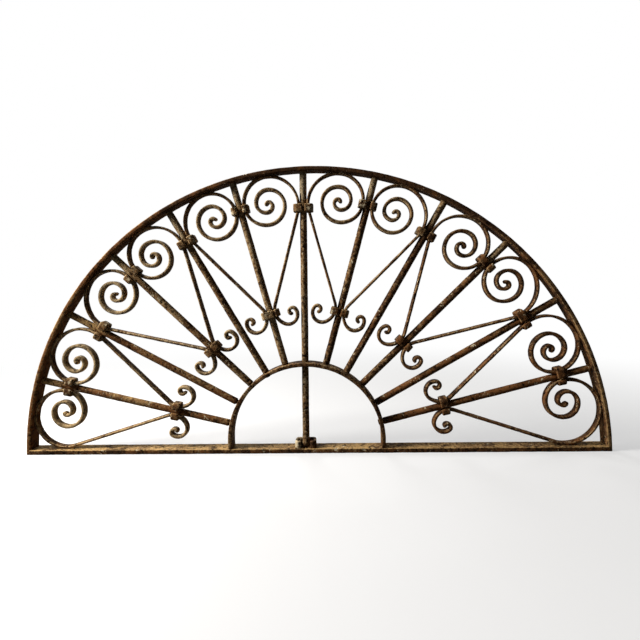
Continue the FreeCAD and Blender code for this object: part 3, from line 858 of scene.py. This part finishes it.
def bundle_half(touches, middle):
    """Half width of a bar and its strips inside a collar.

    The strips curve away from the bar by the square of the length from where they touch it, over
    twice the radius of their near face.
    """
    runs = [(COLLAR_WIDE / 2 + abs(distance - middle), bend) for distance, bend in touches]
    away = max(run * run / (2 * (bend - HALF_STRIP)) for run, bend in runs)
    return STRIP_OFF + HALF_STRIP + TOUCH + away


# ends of the folded strips, across the bar: (left end, right end, the collar's tilt in degrees)
UPPER_LIPS = {1: (-3.0, 4.0, 2.0), 2: (-4.0, 3.0, -2.0), 3: (-4.5, 4.5, 2.5), 4: (-2.5, 4.5, -1.5),
              5: (-5.0, 5.0, -3.0), 6: (-1.0, 2.4, 0.5), 7: (-1.5, 4.5, 1.0), 8: (-3.0, 4.0, 2.0),
              9: (-2.0, 5.0, -1.5), 10: (3.5, 6.5, 2.0), 11: (3.0, 6.5, -2.0)}
LOWER_LIPS = {1: (-2.5, 3.5, 2.0), 3: (-1.0, 1.5, -2.5), 5: (7.5, 9.0, 1.5), 7: (-2.0, 1.5, -1.0),
              9: (-4.0, 4.0, 2.0), 11: (2.0, 5.5, -1.5)}
# cream paint left on the collars: (left side, right side)
UPPER_PAINT = {1: (1.0, 0.5), 2: (0.8, 0.5), 3: (1.0, 0.4), 4: (0.3, 0.8), 5: (2.2, 0.9),
               6: (0.6, 1.5), 7: (1.7, 0.6)}
LOWER_PAINT = {5: (1.3, 0.1), 7: (1.9, 0.1)}
LITTLE_PAINT = (0.3, 0.3)
# collars from this bar on are redder
FIRST_RED = 9

for number, bar in ALL_BARS.items():
    touches = collar_spots[number]
    upper = np.mean([distance for distance, bend in touches])
    upper -= COLLAR_SLIP if number % 2 == 0 else 0.0
    jobs = [("upper", upper, touches, UPPER_LIPS[number])]
    if number in LOWER_LIPS:
        low = LOW_RISES[number]
        jobs.append(("lower", low, [(low, CURL_ARCS[0][0])], LOWER_LIPS[number]))
    for place, distance, met, (left_lip, right_lip, tilt) in jobs:
        corners = collar_corners(bundle_half(met, distance), left_lip, right_lip)
        seed = COLLAR_SEED + 7 * number + (0 if place == "upper" else 3)
        shell = collar_shell(bar.at(distance), bar.along * heading(tilt), corners, seed)
        paint = (UPPER_PAINT if place == "upper" else LOWER_PAINT).get(number, LITTLE_PAINT)
        to_right = shell.across() > bar.at(distance).real
        red = number >= FIRST_RED
        make_piece("%s_wrap_%02d" % (place, number), shell, "%s_collar_%02d" % (place, number),
                   "collar_iron", rust=0.6 if red else 0.4, pale=np.where(to_right, paint[1], paint[0]),
                   crust=0.4 if red else 0.7)

# Empty collar at the foot of the middle bar, sprung open, with its paint left on one side. Its
# corners lie across the bar (real part) and front to back.
sprung_corners = [-8.5 - 11.0j, -14.5 - 12.5j, -17.0 - 8.0j, complex(-16.0, COLLAR_DEEP),
                  complex(16.0, COLLAR_DEEP), 17.0 - 7.5j, 14.0 - 11.5j, 8.0 - 10.0j]
centre_bar = ALL_BARS[CENTRE_BAR]
stand = seat_height + COLLAR_WIDE / 2
sprung = collar_shell(centre_bar.at(centre_bar.at_height(stand)), 1j, sprung_corners, SPRUNG_SEED,
                      depth=BAR_RADIUS - STRIP_DEPTH / 2)
to_right = sprung.across() > centre_bar.foot.real
make_piece("sprung_collar", sprung, "empty_collar", "collar_iron",
           pale=np.where(to_right, 0.3, 2.2), crust=np.where(to_right, 0.3, 1.1))


# Floor, light and camera, in metres

# camera: picture width, focal length and drop in pixels, and the width of its film in millimetres
PICTURE = 640.0
FOCAL_PIXELS = 481.0
DROP_PIXELS = 1.0
FILM = 36.0
# the floor glows partly white near the grille and fully white further out
FLOOR_REACH = 6.0
FLOOR_GLOW = 0.5
FLOOR_FADE = (0.45, 1.5)
PALE = colour(0.9, 0.9, 0.9)
# the floor is dark to rays that light, so that it sends hardly any light back up
LIGHTLESS = colour(0.015, 0.015, 0.015)
WHITE = colour(1.0, 1.0, 1.0)
ROOM_LIGHT = 0.010


def camera_at(position, yaw, pitch, roll):
    """Camera that looks along a yaw from +Y towards +X and a pitch, turned about its view by a roll."""
    yaw, pitch, roll = np.radians([yaw, pitch, roll])
    ahead = np.array([np.sin(yaw) * np.cos(pitch), np.cos(yaw) * np.cos(pitch), np.sin(pitch)])
    right = np.array([np.cos(yaw), -np.sin(yaw), 0.0])
    up = np.cross(right, ahead)
    right, up = np.cos(roll) * right + np.sin(roll) * up, np.cos(roll) * up - np.sin(roll) * right
    camera = bpy.data.cameras.new("camera")
    camera.sensor_width = FILM
    camera.lens = FILM * FOCAL_PIXELS / PICTURE
    camera.shift_y = -DROP_PIXELS / PICTURE
    camera.clip_start = 0.01
    holder = bpy.data.objects.new("camera", camera)
    turned = Matrix(np.stack([right, up, -ahead], 1).tolist()).to_4x4()
    holder.matrix_world = Matrix.Translation(position) @ turned
    bpy.context.scene.collection.objects.link(holder)
    bpy.context.scene.camera = holder


def soft_lamp(name, position, target, power, width, tint):
    """Square lamp that faces a target, its upper side level."""
    lamp = bpy.data.lights.new(name, "AREA")
    lamp.energy = power
    lamp.size = width
    lamp.color = tint
    holder = bpy.data.objects.new(name, lamp)
    position = np.array(position)
    ahead = np.array(target) - position
    ahead = ahead / np.linalg.norm(ahead)
    right = np.cross(ahead, [0.0, 0.0, 1.0])
    right = right / np.linalg.norm(right)
    turned = Matrix(np.stack([right, np.cross(right, ahead), -ahead], 1).tolist()).to_4x4()
    holder.matrix_world = Matrix.Translation(position.tolist()) @ turned
    bpy.context.scene.collection.objects.link(holder)


def shown_rays(tree):
    """1 for rays that show a thing to the camera, straight or in a reflection, 0 for rays that light."""
    path = add_node(tree, "ShaderNodeLightPath", {}, {})
    straight = Value(tree, path.outputs["Is Camera Ray"])
    mirrored = Value(tree, path.outputs["Is Glossy Ray"])
    through = Value(tree, path.outputs["Is Transmission Ray"])
    return (straight + mirrored + through).clamped()


def pale_floor(spread):
    """Pale floor with the grille's shadow, which fades to plain white further out."""
    mesh = bpy.data.meshes.new("floor")
    corners = [(-spread, -spread, 0), (spread, -spread, 0), (spread, spread, 0), (-spread, spread, 0)]
    mesh.from_pydata(corners, [], [(0, 1, 2, 3)])
    material = bpy.data.materials.new("pale_floor")
    material.use_nodes = True
    tree = material.node_tree
    surface = tree.nodes["Principled BSDF"]
    surface.inputs["Roughness"].default_value = 0.8
    place = Value(tree, add_node(tree, "ShaderNodeTexCoord", {}, {}).outputs["Object"])
    away = add_node(tree, "ShaderNodeVectorMath", {"operation": "LENGTH"}, {0: place})
    further = Value(tree, away.outputs["Value"]).between(*FLOOR_FADE)
    share = FLOOR_GLOW + further * (1 - FLOOR_GLOW)
    shown = shown_rays(tree)
    tree.links.new(blend(tree, shown, LIGHTLESS, PALE).socket, surface.inputs["Base Color"])
    white = add_node(tree, "ShaderNodeEmission", {}, {"Strength": 1.0})
    mixed = add_node(tree, "ShaderNodeMixShader", {}, {0: share * shown})
    tree.links.new(surface.outputs[0], mixed.inputs[1])
    tree.links.new(white.outputs[0], mixed.inputs[2])
    tree.links.new(mixed.outputs[0], tree.nodes["Material Output"].inputs["Surface"])
    mesh.materials.append(material)
    floor = bpy.data.objects.new("floor", mesh)
    bpy.context.scene.collection.objects.link(floor)


def white_room(light):
    """World that lights the grille at a set level and shows white to the camera and in reflections."""
    world = bpy.data.worlds.new("room")
    world.use_nodes = True
    tree = world.node_tree
    ground = tree.nodes["Background"]
    ground.inputs["Color"].default_value = WHITE
    tree.links.new((shown_rays(tree) * (1 - light) + light).socket, ground.inputs["Strength"])
    bpy.context.scene.world = world


camera_at(position=(0.0498, -0.8586, 0.3122), yaw=-2.17, pitch=-4.70, roll=-1.14)
soft_lamp("window", position=(-1.22, -0.20, 0.92), target=(0.0, 0.0, 0.25),
          power=39.0, width=0.5, tint=(1.0, 0.97, 0.93))
soft_lamp("rear_fill", position=(-1.50, 5.00, 2.50), target=(0.0, 0.0, 0.2),
          power=116.0, width=2.0, tint=(1.0, 1.0, 1.0))
pale_floor(FLOOR_REACH)
white_room(ROOM_LIGHT)
bpy.context.scene.view_settings.view_transform = "Standard"
